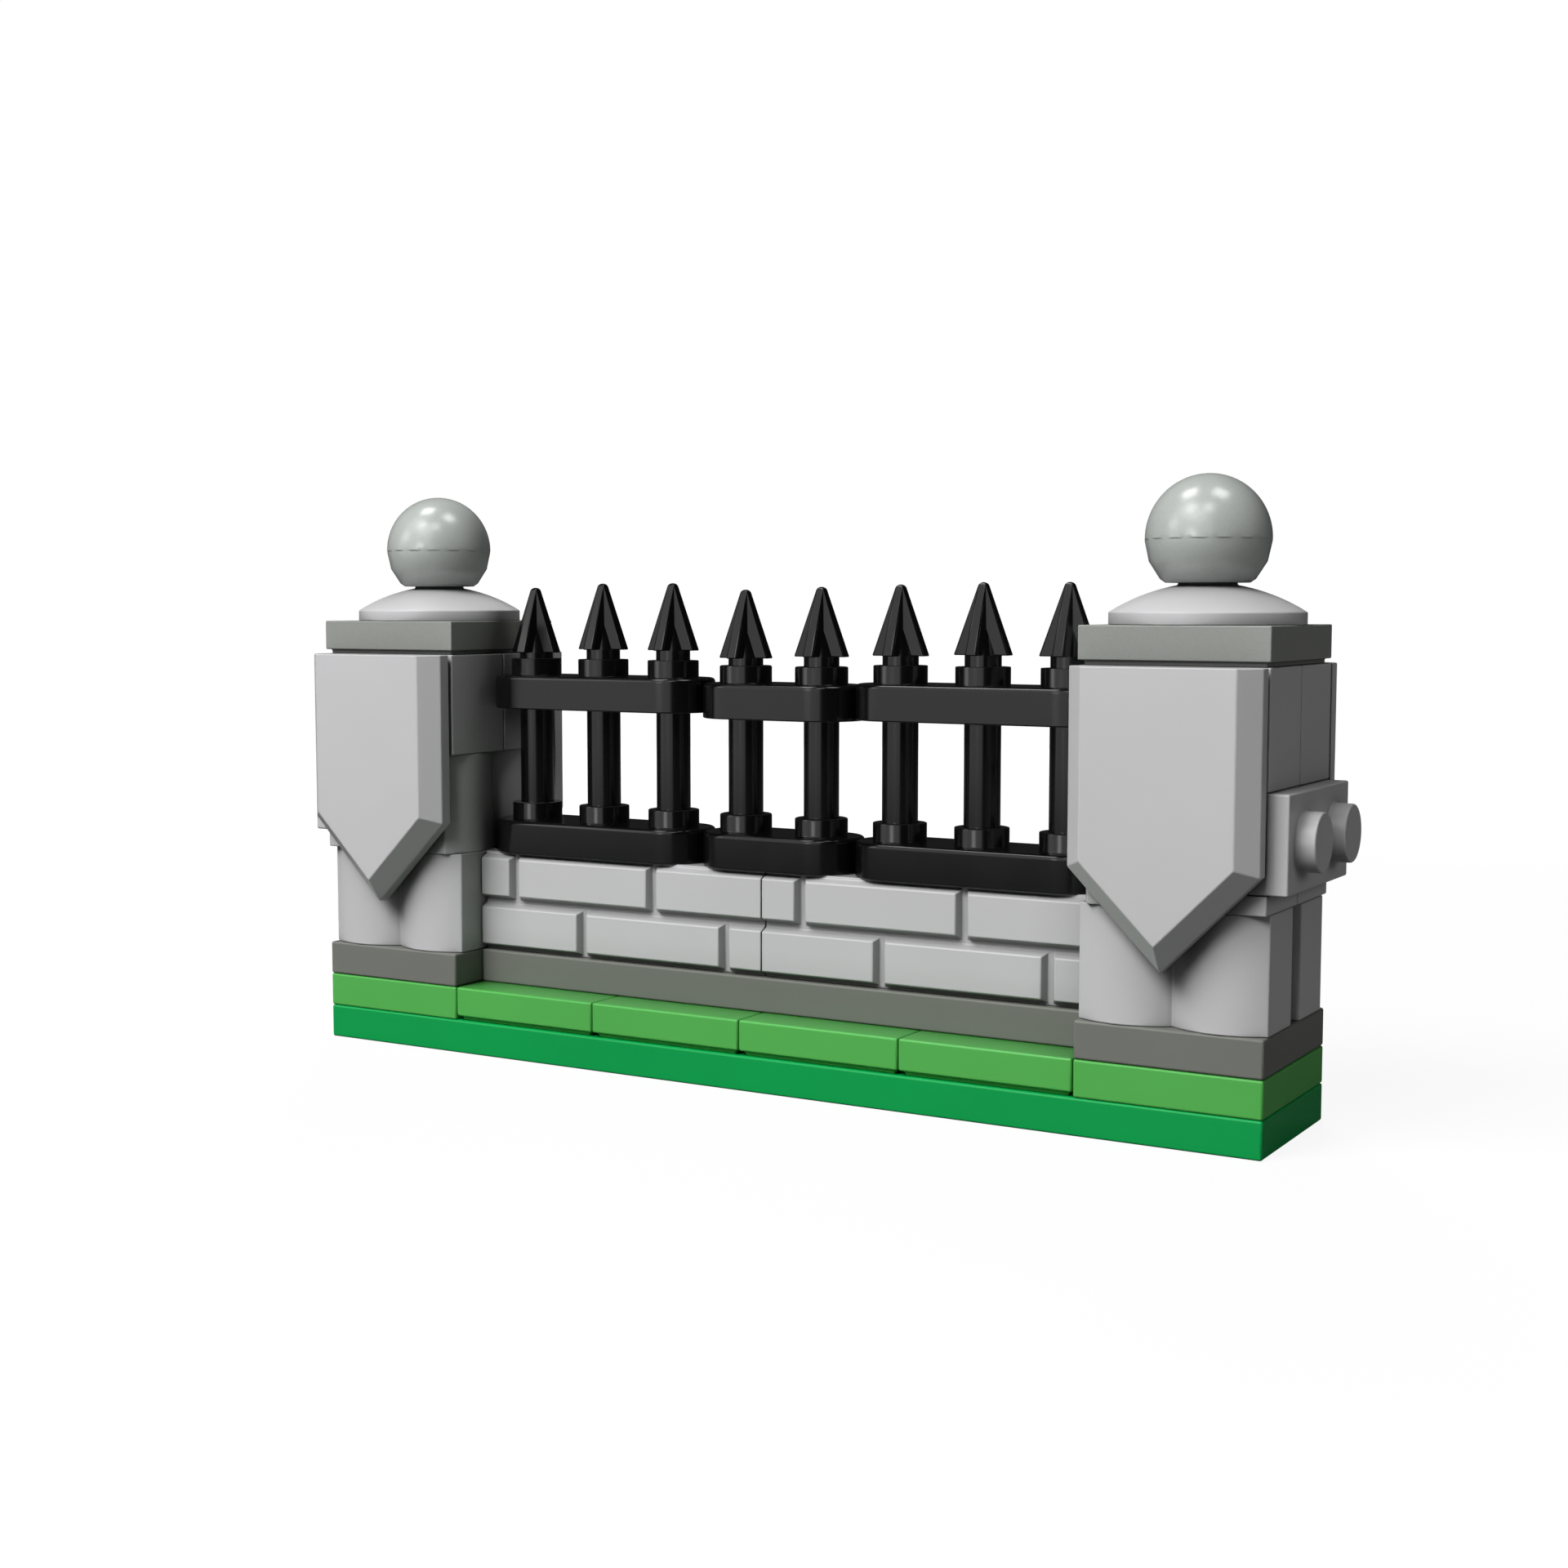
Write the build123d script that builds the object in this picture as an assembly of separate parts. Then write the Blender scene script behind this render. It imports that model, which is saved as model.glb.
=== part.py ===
from build123d import *
import math
import os

os.makedirs("parts", exist_ok=True)

# Toy fence section of interlocking plastic bricks, in millimetres.
# X runs along the fence, Y from front (minus) to back, Z up from the underside of the base plate.

# Building grid
pitch = 8.0
plate_height = 3.2
plates_per_brick = 3
play = 0.05
stud_radius = 2.4
stud_height = 1.6
cut_overrun = 1.0

# Bay and pillars, counted in grid cells
rail_bars = (3, 2, 3)
pillar_cells = 2
lawn_tile_cells = 2
masonry_cells = 4
shield_cells = 3

# Base plate, hollow below with a row of tubes
base_wall = 1.5
base_roof = 1.2
tube_wall = 0.85

# Groove round the foot of a tile
groove_height = 0.4
groove_depth = 0.42

# Masonry relief on the wall blocks
brick_rows = 2
brick_length = 16.0
joint_width = 1.2
relief_depth = 0.8
relief_draft = 0.36
lower_joint_share = 0.75
upper_joint_share = 0.25

# Upright log blocks
log_end_bulge = 1.1
log_notch = 1.37

# Recessed corner blocks and what sits in the recess
end_recess = 1.6
end_lip = 1.6

# Shields
shield_bevel = 1.6

# Dish and ball finial
dish_rim = 1.0
dish_shoulder_radius_share = 0.6
dish_shoulder_height_share = 0.8
neck_height = 0.18
ball_radius = 5.1
ball_band_radius_shares = (0.93, 0.753, 0.667)
ball_band_drop_shares = (0.388, 0.669, 0.729)

# Railing
bar_radius = 1.6
bar_clearance = 0.03
collar_wall = 0.8
rail_rise = 14.0
rail_edge_radius = 0.35
rail_sink_shares = (0, 0.22, 0.07)

# Spear heads
head_clearance = 0.3
head_height = 6.27
fin_reach = 2.6
fin_thickness = 1.08
core_radius = 1.5
core_height = 4.0
core_tip_radius = 0.12
spear_lift_shares = (0.16, 0.39, 0.39, 0, 0.14, 0.25, 0.35, 0.34)

# Plan
bar_count = sum(rail_bars)
wall_length = bar_count * pitch
pillar_width = pillar_cells * pitch
pillar_half = pillar_width / 2
pillar_x = wall_length / 2 + pillar_half
base_length = wall_length + 2 * pillar_width
dish_radius = pillar_half - play
tube_radius = stud_radius + tube_wall
collar_radius = bar_radius + collar_wall

# Levels
brick_height = plates_per_brick * plate_height
base_top = plate_height
ground_top = base_top + plate_height
plinth_top = ground_top + plate_height
wall_top = plinth_top + brick_height
course_2_top = wall_top + brick_height
course_3_top = course_2_top + brick_height
cap_top = course_3_top + plate_height
recess_bottom = wall_top + end_lip
upper_rail_z = wall_top + rail_rise
bar_length = rail_rise + plate_height + stud_height + head_clearance


def centred(length):
    return (-length / 2, length / 2)


def inset(span, amount):
    return (min(span) + amount, max(span) - amount)


def fitted(length):
    """A grid length less the play at both ends."""
    low, high = inset(centred(length), play)
    return high - low


def row(count, step):
    """Places of a centred row."""
    return [(i - (count - 1) / 2) * step for i in range(count)]


def block(x_span, y_span, z_span, stacked="z"):
    """A moulded block in its grid cell, with play on all sides but those along its stacking axis."""
    sizes = []
    centres = []
    for axis, span in zip("xyz", (x_span, y_span, z_span)):
        gap = 0 if axis == stacked else play
        low, high = inset(span, gap)
        sizes.append(high - low)
        centres.append((low + high) / 2)
    return Pos(*centres) * Box(*sizes)


def tile(x_span, y_span, z_span):
    """A smooth block with a groove round its foot."""
    seat = min(z_span) + groove_height
    slab = block(x_span, y_span, (seat, max(z_span)))
    foot = block(inset(x_span, groove_depth), inset(y_span, groove_depth), (min(z_span), seat))
    return slab + foot


def base_plate():
    x_span = centred(base_length)
    y_span = centred(pillar_width)
    hollow_top = base_top - base_roof
    plate = block(x_span, y_span, (0, base_top))
    plate -= block(inset(x_span, base_wall), inset(y_span, base_wall), (0, hollow_top))
    tube = Cylinder(tube_radius, hollow_top) - Cylinder(stud_radius, hollow_top)
    for x in row(round(base_length / pitch) - 1, pitch):
        plate += Pos(x, 0, hollow_top / 2) * tube
    return plate


def relief_brick(x_span, z_span):
    """One raised brick on the front face of the wall, with sloped joints round it."""
    foot_x = inset(x_span, -relief_draft)
    foot_z = inset(z_span, -relief_draft)
    foot = Rectangle(foot_x[1] - foot_x[0], foot_z[1] - foot_z[0])
    slope = math.degrees(math.atan2(relief_draft, relief_depth))
    pad = extrude(Plane.XZ * foot, relief_depth, taper=slope)
    return Pos(sum(foot_x) / 2, relief_depth - pitch / 2 + play, sum(foot_z) / 2) * pad


def wall_block():
    """A block with brickwork in relief, front and back. The bond runs on from block to block."""
    x_span = centred(masonry_cells * pitch)
    z_span = (plinth_top, wall_top)
    row_height = brick_height / brick_rows
    bricks = []
    for level in range(brick_rows):
        row_bottom = plinth_top + level * row_height
        row_span = inset((row_bottom, row_bottom + row_height), joint_width / 2)
        joint_share = upper_joint_share if level % 2 else lower_joint_share
        joint = x_span[0] + (joint_share - 1) * brick_length
        while joint < x_span[1]:
            bricks.append(relief_brick(inset((joint, joint + brick_length), joint_width / 2), row_span))
            joint += brick_length
    front = (Part() + bricks) & block(x_span, centred(pitch), z_span)
    core = block(x_span, inset(centred(pitch), relief_depth), z_span)
    return core + front + Rot(0, 0, 180) * front


def log_block():
    """Two upright half-round logs side by side, along X, bulging front and back."""
    end = pillar_half - play
    crest = pitch / 2 - play
    outline = []
    for way in (-1, 1):
        flat = way * (crest - log_end_bulge)
        notch = (0, way * (crest - log_notch))
        outline.append(ThreePointArc((-end, flat), (-end / 2, way * crest), notch))
        outline.append(ThreePointArc(notch, (end / 2, way * crest), (end, flat)))
    for x in (-end, end):
        outline.append(Line((x, log_end_bulge - crest), (x, crest - log_end_bulge)))
    return extrude(make_face(outline), brick_height)


def recessed_block(way):
    """Corner block set back above its lip. Local X points out of the fence's end."""
    y_span = (0, way * pillar_half)
    lip = block((0, pillar_half), y_span, (wall_top, recess_bottom))
    return lip + block((0, pillar_half - end_recess), y_span, (recess_bottom, course_2_top))


def end_slab(foot_groove):
    """Plate on its side in the recess of the corner blocks, grooved round its foot if it is a tile."""
    x_in = pillar_half - end_recess
    seat = x_in + foot_groove
    z_span = (recess_bottom, course_2_top)
    slab = block((seat, x_in + plate_height), centred(pillar_width), z_span, stacked="x")
    if foot_groove:
        y_foot = inset(centred(pillar_width), groove_depth)
        slab += block((x_in, seat), y_foot, inset(z_span, groove_depth), stacked="x")
    return slab


def end_plate():
    """The end slab with two studs that take the next section."""
    x_face = pillar_half - end_recess + plate_height
    stud = Rot(0, 90, 0) * Cylinder(stud_radius, stud_height)
    plate = end_slab(0)
    for y in row(pillar_cells, pitch):
        plate += Pos(x_face + stud_height / 2, y, (recess_bottom + course_2_top) / 2) * stud
    return plate


def shield():
    """Pointed plaque on the front of a pillar, bevelled on all sides but the top."""
    half = pillar_half - play
    top = course_3_top
    tip = top - shield_cells * pitch
    shoulder = tip + half
    corners = [(-half, top), (half, top), (half, shoulder), (0, tip), (-half, shoulder)]
    face = make_face(Polyline(*corners, close=True))
    foot = extrude(Plane.XZ * offset(face, -groove_depth, kind=Kind.INTERSECTION), groove_height)
    slab = extrude(Plane.XZ * face, plate_height - groove_height)
    rim = slab.faces().sort_by(Axis.Y)[0].edges().sort_by(Axis.Z)[:-1]
    slab = Pos(0, -groove_height, 0) * chamfer(rim, shield_bevel)
    return Pos(0, -pillar_half, 0) * (foot + slab)


def dish():
    rim = (dish_radius, dish_rim)
    shoulder = (dish_radius * dish_shoulder_radius_share, plate_height * dish_shoulder_height_share)
    crown = (stud_radius, plate_height)
    neck_top = plate_height + neck_height
    outline = [
        Line((0, 0), (dish_radius, 0)),
        Line((dish_radius, 0), rim),
        ThreePointArc(rim, shoulder, crown),
        Line(crown, (stud_radius, neck_top)),
        Line((stud_radius, neck_top), (0, neck_top)),
        Line((0, neck_top), (0, 0)),
    ]
    return Pos(0, 0, cap_top) * revolve(Plane.XZ * make_face(outline), Axis.Z)


def ball():
    """Round above its middle, in three straight bands below, with a flat foot on the dish's neck."""
    bands = [(ball_radius, 0)]
    for radius_share, drop_share in zip(ball_band_radius_shares, ball_band_drop_shares):
        bands.append((ball_radius * radius_share, -ball_radius * drop_share))
    foot_z = bands[-1][1]
    outline = [CenterArc((0, 0), ball_radius, 0, 90)]
    for start, stop in zip(bands, bands[1:]):
        outline.append(Line(start, stop))
    outline.append(Line(bands[-1], (0, foot_z)))
    outline.append(Line((0, foot_z), (0, ball_radius)))
    seat = cap_top + plate_height + neck_height
    return Pos(0, 0, seat - foot_z) * revolve(Plane.XZ * make_face(outline), Axis.Z)


def rail(bars):
    """Round-ended plate with an open collar for each bar."""
    body = extrude(SlotOverall(fitted(bars * pitch), fitted(pitch)), plate_height)
    edges = body.faces().sort_by(Axis.Z)[0].edges() + body.faces().sort_by(Axis.Z)[-1].edges()
    body = fillet(edges, rail_edge_radius)
    collar = Cylinder(collar_radius, stud_height)
    bore = Cylinder(bar_radius + bar_clearance, plate_height + stud_height + 2 * cut_overrun)
    for x in row(bars, pitch):
        body += Pos(x, 0, plate_height + stud_height / 2) * collar
    for x in row(bars, pitch):
        body -= Pos(x, 0, (plate_height + stud_height) / 2) * bore
    return body


def spear():
    """Round bar with a four-finned head on a conical core."""
    bar = Pos(0, 0, bar_length / 2) * Cylinder(bar_radius, bar_length)
    corners = [(-fin_reach, 0), (fin_reach, 0), (0, head_height)]
    fin = extrude(Plane.XZ * make_face(Polyline(*corners, close=True)), fin_thickness / 2, both=True)
    core = Pos(0, 0, core_height / 2) * Cone(core_radius, core_tip_radius, core_height)
    head = fin + Rot(0, 0, 90) * fin + core
    return bar + Pos(0, 0, bar_length) * head


def pillar(side):
    """All pieces of one pillar. The left pillar is the right one turned half round."""
    sign = 1 if side == "right" else -1
    turn = 0 if side == "right" else 180
    cell = centred(pillar_width)
    half = log_block()
    pieces = {
        "ground_plate": block(cell, cell, (base_top, ground_top)),
        "plinth_plate": block(cell, cell, (ground_top, plinth_top)),
        "inner_log_block": Pos(-pillar_half / 2, 0, wall_top) * Rot(0, 0, 90) * half,
        "cap_tile": tile(cell, cell, (course_3_top, cap_top)),
        "dish": dish(),
        "ball": ball(),
    }
    for face, way in (("front", -sign), ("back", sign)):
        y_span = (0, way * pillar_half)
        pieces[f"{face}_log_block"] = Pos(0, way * pillar_half / 2, plinth_top) * half
        pieces[f"{face}_recessed_block"] = recessed_block(way)
        pieces[f"{face}_upper_block"] = block(cell, y_span, (course_2_top, course_3_top))
        pieces[f"{face}_shield"] = Rot(0, 0, 0 if way < 0 else 180) * shield()
    if side == "right":
        pieces["end_plate"] = end_plate()
    else:
        pieces["end_tile"] = end_slab(groove_height)
    place = Rot(0, 0, turn) * Pos(pillar_x, 0, 0)
    return {f"{side}_{name}": place * piece for name, piece in pieces.items()}


def bay():
    """The lawn, the sill, the wall and the railing between the pillars."""
    pieces = {}
    lawn_length = lawn_tile_cells * pitch
    for i, x in enumerate(row(bar_count // lawn_tile_cells, lawn_length), 1):
        x_span = (x - lawn_length / 2, x + lawn_length / 2)
        pieces[f"lawn_tile_{i}"] = tile(x_span, centred(pillar_width), (base_top, ground_top))
    pieces["wall_sill"] = block(centred(wall_length), centred(pitch), (ground_top, plinth_top))
    for i, x in enumerate(row(bar_count // masonry_cells, masonry_cells * pitch), 1):
        pieces[f"wall_block_{i}"] = Pos(x, 0, 0) * wall_block()
    start = -wall_length / 2
    for i, (bars, sink_share) in enumerate(zip(rail_bars, rail_sink_shares), 1):
        x = start + bars * pitch / 2
        upper_z = upper_rail_z - sink_share * stud_height
        pieces[f"lower_rail_{i}"] = Pos(x, 0, wall_top) * rail(bars)
        pieces[f"upper_rail_{i}"] = Pos(x, 0, upper_z) * rail(bars)
        start += bars * pitch
    for i, (x, lift_share) in enumerate(zip(row(bar_count, pitch), spear_lift_shares), 1):
        pieces[f"spear_{i}"] = Pos(x, 0, wall_top + lift_share * stud_height) * spear()
    return pieces


pieces = {"base_plate": base_plate(), **bay(), **pillar("left"), **pillar("right")}
for name, piece in pieces.items():
    export_step(piece, f"parts/{name}.step")
print(len(pieces), "pieces written")
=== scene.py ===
import math

import bmesh
import bpy
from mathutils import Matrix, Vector


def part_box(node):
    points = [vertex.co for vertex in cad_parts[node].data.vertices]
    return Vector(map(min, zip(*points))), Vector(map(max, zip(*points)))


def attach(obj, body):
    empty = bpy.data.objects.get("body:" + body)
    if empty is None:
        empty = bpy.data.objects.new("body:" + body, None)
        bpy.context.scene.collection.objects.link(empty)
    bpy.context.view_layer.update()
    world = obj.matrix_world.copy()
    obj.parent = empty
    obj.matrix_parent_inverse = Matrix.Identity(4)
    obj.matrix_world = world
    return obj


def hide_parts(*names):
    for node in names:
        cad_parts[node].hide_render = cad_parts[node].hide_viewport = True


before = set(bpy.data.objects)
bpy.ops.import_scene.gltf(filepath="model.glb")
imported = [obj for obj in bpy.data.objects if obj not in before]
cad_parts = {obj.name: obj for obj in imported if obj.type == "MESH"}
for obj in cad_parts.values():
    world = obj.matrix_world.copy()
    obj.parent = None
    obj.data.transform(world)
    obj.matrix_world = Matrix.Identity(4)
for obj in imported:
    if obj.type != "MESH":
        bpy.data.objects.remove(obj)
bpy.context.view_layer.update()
scene = bpy.context.scene
mm = 0.001  # lengths in the dictionaries are millimetres


# node helpers
def addNode(tree, kind, inputs=None, **settings):
    made = tree.nodes.new(kind)
    for name, value in settings.items():
        setattr(made, name, value)
    for name, value in (inputs or {}).items():
        for one in value if isinstance(value, list) else [value]:  # a list feeds one socket several times
            if isinstance(one, bpy.types.NodeSocket):
                tree.links.new(one, made.inputs[name])
            else:
                made.inputs[name].default_value = one
    return made.outputs


def sums(tree, operation, *values):
    return addNode(tree, "ShaderNodeMath", dict(enumerate(values)), operation=operation)[0]


def vector(tree, x=0.0, y=0.0, z=0.0):
    return addNode(tree, "ShaderNodeCombineXYZ", {"X": x, "Y": y, "Z": z})[0]


def vectorSums(tree, operation, *values):
    made = addNode(tree, "ShaderNodeVectorMath", dict(enumerate(values)), operation=operation)
    return made["Value" if operation in ("DOT_PRODUCT", "LENGTH") else "Vector"]


def mapped(tree, value, toMin, toMax, fromMin=0.0, fromMax=1.0):
    ends = {"From Min": fromMin, "From Max": fromMax, "To Min": toMin, "To Max": toMax}
    return addNode(tree, "ShaderNodeMapRange", {"Value": value, **ends})["Result"]


# moulded plastics
mouldedSkin = {  # scales are per metre, depths and the reach in millimetres
    "peel": {"scale": 420.0, "detail": 2.0, "depth": 0.004},  # soft ripple left by the mould
    "grain": {"scale": 2600.0, "detail": 2.0, "depth": 0.0012},  # finest texture of the steel
    "cloud": {"scale": 75.0, "detail": 4.0},  # slow drift of pigment
    "smudge": {"scale": 240.0, "detail": 5.0},  # handling marks in the gloss
    "noiseRange": (0.3, 0.7),  # a noise rarely leaves this
    "bumpStrength": 0.5,
    "paintedShadeReach": 6.0,  # painted shade: ambient occlusion darkens the colour in joints, corners and under nearby parts this close
    "paintedShadeSamples": 24,
}


def plastic(name, look):
    material = bpy.data.materials.new(name)
    material.use_nodes = True
    tree = material.node_tree
    shader = tree.nodes["Principled BSDF"]
    place = addNode(tree, "ShaderNodeTexCoord")["Object"]
    low, high = mouldedSkin["noiseRange"]

    def noise(layer):
        inputs = {"Vector": place, "Scale": layer["scale"], "Detail": layer["detail"]}
        return addNode(tree, "ShaderNodeTexNoise", inputs)["Fac"]

    def bump(layer, below):
        inputs = {"Height": noise(layer), "Strength": mouldedSkin["bumpStrength"], **below}
        return addNode(tree, "ShaderNodeBump", {"Distance": layer["depth"] * mm, **inputs})["Normal"]

    def scaled(colour, factor):
        inputs = {0: colour, "Scale": factor}
        return addNode(tree, "ShaderNodeVectorMath", inputs, operation="SCALE")["Vector"]

    colour = addNode(tree, "ShaderNodeValToRGB", {"Fac": noise(mouldedSkin["cloud"])})["Color"]
    stops = colour.node.color_ramp.elements
    for stop, position, drift in zip(stops, (low, high), (-look["drift"], look["drift"])):
        stop.color = [max(0.0, c * (1 + drift)) for c in look["colour"]] + [1.0]
        stop.position = position
    if look.get("flake"):  # metal flakes in the pigment
        flakes = addNode(tree, "ShaderNodeTexVoronoi", {"Vector": place, "Scale": look["flakeScale"]})
        glint = addNode(tree, "ShaderNodeSeparateColor", {"Color": flakes["Color"]})["Red"]
        colour = scaled(colour, mapped(tree, glint, 1 - look["flake"], 1 + look["flake"]))
    # painted shade: the colour is darkened by ambient occlusion where nearby parts shade the surface
    if look.get("paintedShade"):
        hollow = addNode(tree, "ShaderNodeAmbientOcclusion", {"Distance": mouldedSkin["paintedShadeReach"] * mm},
                         samples=mouldedSkin["paintedShadeSamples"])["AO"]
        deepest = 1 - look["paintedShade"]
        if look.get("paintedShadeTopsOnly"):  # only faces that look up get the painted shade, darker towards walls above them; upright faces keep their colour
            normal = addNode(tree, "ShaderNodeNewGeometry")["Normal"]
            up = addNode(tree, "ShaderNodeSeparateXYZ", {0: normal})["Z"]
            deepest = mapped(tree, up, 1.0, deepest)
        colour = scaled(colour, mapped(tree, hollow, deepest, 1.0))
    dull, bright = look["roughness"]
    rough = mapped(tree, noise(mouldedSkin["smudge"]), bright, dull, low, high)
    peel = bump(mouldedSkin["peel"], {})
    grain = bump(mouldedSkin["grain"], {"Normal": peel})
    tree.links.new(colour, shader.inputs["Base Color"])
    tree.links.new(rough, shader.inputs["Roughness"])
    tree.links.new(grain, shader.inputs["Normal"])
    shader.inputs["Specular IOR Level"].default_value = look["specular"]
    return material


# paintedShade is how much colour the painted shade takes away where ambient occlusion is full
baseGreenLook = {"colour": (0.002, 0.315, 0.068), "drift": 0.03, "roughness": (0.36, 0.30), "specular": 0.40}
lawnGreenLook = {"colour": (0.082, 0.405, 0.077), "drift": 0.03, "roughness": (0.36, 0.30), "specular": 0.50,
                 "paintedShade": 0.90, "paintedShadeTopsOnly": True}
darkGreyLook = {"colour": (0.160, 0.165, 0.148), "drift": 0.03, "roughness": (0.40, 0.34), "specular": 0.3,
                "paintedShade": 0.25}
stoneGreyLook = {"colour": (0.508, 0.505, 0.513), "drift": 0.02, "roughness": (0.38, 0.32), "specular": 0.4,
                 "paintedShade": 0.78}
capGreyLook = {"colour": (0.262, 0.273, 0.254), "drift": 0.02, "roughness": (0.36, 0.31), "specular": 0.4,
               "paintedShade": 0.65, "flake": 0.03, "flakeScale": 6500.0}
# painted light: the balls' grey is lighter than the cap tiles' grey, standing in for the light they catch
# from above
pearlGreyPaintedLightLook = {"colour": (0.395, 0.418, 0.400), "drift": 0.02, "roughness": (0.25, 0.22), "specular": 1.0,
                 "paintedShade": 0.25, "flake": 0.025, "flakeScale": 6500.0}
blackLook = {"colour": (0.0022, 0.0022, 0.0024), "drift": 0.10, "roughness": (0.19, 0.16), "specular": 0.5}

plastics = {
    "green": plastic("baseGreenPlastic", baseGreenLook),
    "bright_green": plastic("lawnGreenPlastic", lawnGreenLook),
    "dark_grey": plastic("darkGreyPlastic", darkGreyLook),
    "light_grey": plastic("stoneGreyPlastic", stoneGreyLook),
    "silver_grey": plastic("capGreyPlastic", capGreyLook),
    "black": plastic("blackPlastic", blackLook),
}
pearlPaintedLightPlastic = plastic("pearlGreyPaintedLightPlastic", pearlGreyPaintedLightLook)  # the same silver grey, polished, and painted lighter than the cap tiles for the light the balls catch from above
print("plastics:", ", ".join(plastics))

# every piece is welded, gets its rounded edges and stands for its node
edgeWork = {
    "weld": 0.0005,  # points this close are one
    "flat": math.radians(0.5),  # faces this close to level with each other become one
    "sharp": math.radians(28),  # edges steeper than this are rounded
    "crease": math.radians(40),  # what is still steeper after that shades as a crease
    "large": 0.05,  # a face that is larger than its neighbour by this, in square millimetres, shades flat
    "flatWeight": 100,  # how much the large faces lead
}


def camel(node):
    first, *rest = node.split("_")
    return first + "".join(word.capitalize() for word in rest)


def anyEdge(edge):
    return True


def noEdge(edge):
    return False


def roundEdges(bm, width, steps, pick=anyEdge):
    edges = [e for e in bm.edges if e.is_manifold and e.calc_face_angle() > edgeWork["sharp"] and pick(e)]
    bmesh.ops.bevel(bm, geom=edges, offset=width * mm, offset_type="OFFSET", segments=steps, profile=0.5,
                    affect="EDGES", clamp_overlap=True)


def plainMesh(piece):
    ready = piece.evaluated_get(bpy.context.evaluated_depsgraph_get())
    made = bpy.data.meshes.new_from_object(ready)
    piece.modifiers.clear()
    piece.data = made
    made.name = piece.name


def setPiece(piece, node, slotName, roundings, crease=edgeWork["crease"], even=True, hard=noEdge):
    bm = bmesh.new()
    bm.from_mesh(piece.data)
    bmesh.ops.remove_doubles(bm, verts=bm.verts, dist=edgeWork["weld"] * mm)
    bmesh.ops.dissolve_limit(bm, angle_limit=edgeWork["flat"], verts=bm.verts, edges=bm.edges)
    bmesh.ops.recalc_face_normals(bm, faces=bm.faces)
    for rounding in roundings:
        roundEdges(bm, *rounding)
    for face in bm.faces:
        face.smooth = True
    for edge in bm.edges:
        edge.smooth = edge.calc_face_angle(0.0) < crease and not hard(edge)
    bm.to_mesh(piece.data)
    bm.free()
    if even:
        evenOut = piece.modifiers.new("evenOut", "WEIGHTED_NORMAL")  # flat faces stay flat beside round edges
        evenOut.keep_sharp = True
        evenOut.weight = edgeWork["flatWeight"]
        evenOut.thresh = edgeWork["large"] * mm * mm
        plainMesh(piece)
    piece.data.materials.clear()
    piece.data.materials.append(plastics[slotName])
    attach(piece, "root")
    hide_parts(node)


def newPiece(name, mesh):
    piece = bpy.data.objects.new(name, mesh)
    scene.collection.objects.link(piece)
    return piece


def softCopy(node, slotName, finish, pick=anyEdge):
    piece = newPiece(camel(node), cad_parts[node].data.copy())
    setPiece(piece, node, slotName, [(finish["edge"], finish["steps"], pick)])


# plates, tiles and blocks of the stack
basePlate = {"edge": 0.22, "steps": 3, "near": 0.1}  # near: edges this close to the outside are rounded
stackPlates = {"edge": 0.22, "steps": 3}
footTiles = {"edge": 0.20, "steps": 3}
capTiles = {"edge": 0.11, "steps": 3}
cornerBlocks = {"edge": 0.14, "steps": 3}
logBlocks = {"edge": 0.12, "steps": 3}
shields = {"edge": 0.10, "steps": 3}
endPlate = {"edge": 0.16, "steps": 4}


def outsideEdge(edge):
    near = baseCorner - Vector((basePlate["near"] * mm,) * 3)
    return all(abs(v.co.x) > near.x or abs(v.co.y) > near.y for v in edge.verts)


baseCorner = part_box("base_plate")[1]
softCopy("base_plate", "green", basePlate, outsideEdge)
for i in range(1, 5):
    softCopy(f"lawn_tile_{i}", "bright_green", footTiles)
softCopy("wall_sill", "dark_grey", stackPlates)
for side in ("left", "right"):
    softCopy(f"{side}_ground_plate", "bright_green", stackPlates)
    softCopy(f"{side}_plinth_plate", "dark_grey", stackPlates)
    softCopy(f"{side}_cap_tile", "silver_grey", capTiles)
    softCopy(f"{side}_inner_log_block", "light_grey", logBlocks)
    for face in ("front", "back"):
        softCopy(f"{side}_{face}_log_block", "light_grey", logBlocks)
        softCopy(f"{side}_{face}_recessed_block", "light_grey", cornerBlocks)
        softCopy(f"{side}_{face}_upper_block", "light_grey", cornerBlocks)
        softCopy(f"{side}_{face}_shield", "light_grey", shields)
softCopy("left_end_tile", "light_grey", footTiles)
softCopy("right_end_plate", "light_grey", endPlate)
print("stack: plates, tiles, blocks and shields")


# node trees for what follows a rule
def openTree(name, sizes):
    tree = bpy.data.node_groups.new(name, "GeometryNodeTree")
    tree.interface.new_socket("Geometry", in_out="OUTPUT", socket_type="NodeSocketGeometry")
    for label, value in sizes.items():
        kind = "NodeSocketInt" if isinstance(value, int) else "NodeSocketFloat"
        tree.interface.new_socket(label, in_out="INPUT", socket_type=kind)
    tree.interface.new_socket("Material", in_out="INPUT", socket_type="NodeSocketMaterial")
    return tree, tree.nodes.new("NodeGroupInput").outputs


def closeTree(tree, size, geometry):
    real = addNode(tree, "GeometryNodeRealizeInstances", {"Geometry": geometry})[0]
    painted = addNode(tree, "GeometryNodeSetMaterial", {"Geometry": real, "Material": size["Material"]})[0]
    addNode(tree, "NodeGroupOutput", {"Geometry": painted})


def grow(name, tree, sizes, slotName):
    piece = newPiece(name, bpy.data.meshes.new(name))
    shape = piece.modifiers.new("shape", "NODES")
    shape.node_group = tree
    for socket in tree.interface.items_tree:
        if socket.in_out == "INPUT":
            shape[socket.identifier] = sizes.get(socket.name, plastics[slotName])
    plainMesh(piece)
    return piece


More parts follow.
